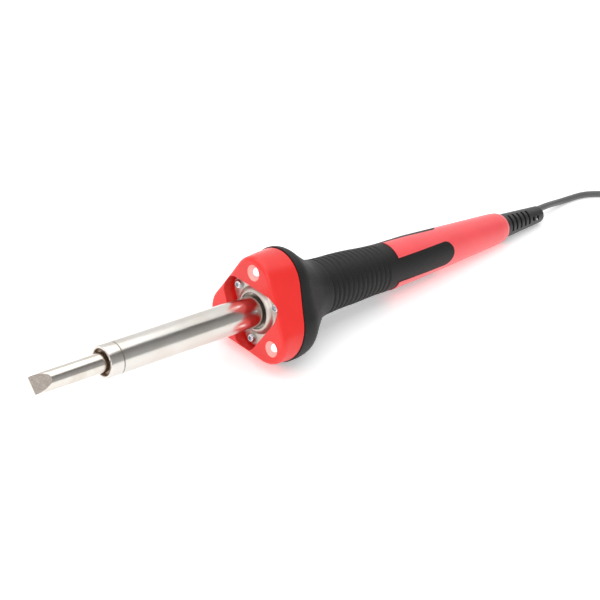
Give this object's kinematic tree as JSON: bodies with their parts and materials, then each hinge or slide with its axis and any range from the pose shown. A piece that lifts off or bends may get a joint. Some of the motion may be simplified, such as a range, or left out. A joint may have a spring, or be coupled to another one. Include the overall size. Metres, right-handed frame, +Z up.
{
  "type": "soldering iron",
  "caption": "Mains soldering iron with a chisel tip, a polished heater barrel, three lights in a lobed red shield and a ribbed soft grip.",
  "frame": {"origin": "on the surface the iron lies on, under the middle of its length, boot end to tip, without its free lead", "axes": "+X from the tip to the tail along the floor, +Z up; the iron lies on the grip collar and its tail, tip raised by about 5 degrees"},
  "size_m": [0.6003, 0.0682, 0.0557],
  "materials": {
    "plated_copper": "nickel plated, tinned at the edge",
    "polished_steel": "polished",
    "nickel_steel": "nickel plated",
    "zinc_screws": "zinc plated",
    "heater_steel": "satin",
    "mica": "satin",
    "ceramic": "matte",
    "glass_fibre": "woven",
    "red_shield": "satin gloss",
    "red_handle": "fine matte",
    "black_grip": "soft matte",
    "lamp_resin": "clear, lit",
    "board": "solder mask",
    "tinned_wire": "tinned",
    "component": "moulded",
    "core_brown": "matte",
    "core_blue": "matte",
    "core_green": "matte",
    "grey_lead": "satin",
    "tie": "matte",
    "plated_brass": "nickel plated"
  },
  "bodies": {
    "iron": {"barrel_nose": "polished_steel", "barrel_tube": "polished_steel", "board_capacitor": "component", "board_rectifier": "component", "board_resistors": "component", "board_wires": "core_brown", "ceramic_plug": "ceramic", "coil_tie": "tie", "earth_core": "core_green", "earth_crimp": "tinned_wire", "earth_lead": "nickel_steel", "flange_gasket": "mica", "flange_plate": "nickel_steel", "flange_screws": "zinc_screws", "handle_core": "red_handle", "heater_leads": "heater_steel", "heater_sleeve": "heater_steel", "heater_winding": "heater_steel", "lead_coil": "grey_lead", "lead_ferrule": "nickel_steel", "lead_jacket_end": "grey_lead", "lead_run": "grey_lead", "lead_sleeves": "glass_fibre", "lead_tail": "grey_lead", "light_board": "board", "light_lenses": "lamp_resin", "light_pins": "tinned_wire", "light_shield": "red_shield", "live_core": "core_brown", "live_crimp": "tinned_wire", "mica_inner_wrap": "mica", "mica_outer_wrap": "mica", "neutral_core": "core_blue", "neutral_crimp": "tinned_wire", "plug_blades": "plated_brass", "plug_body": "grey_lead", "plug_earth_pin": "plated_brass", "soft_grip": "black_grip", "strain_relief": "black_grip"},
    "tip": {"chisel_tip": "plated_copper"},
    "set_screw": {"tip_set_screw": "zinc_screws"}
  },
  "joints": [
    {"name": "tip_slide", "type": "slide", "parent": "iron", "child": "tip", "axis": [-0.996, 0, 0.0896], "range_m": [0, 0.034]},
    {"name": "set_screw_turn", "type": "hinge", "parent": "iron", "child": "set_screw", "pos_m": [-0.13779, 0.004, 0.02687], "axis": [-0.0776, 0.5, -0.8625], "range_deg": [0, 360]}
  ]
}
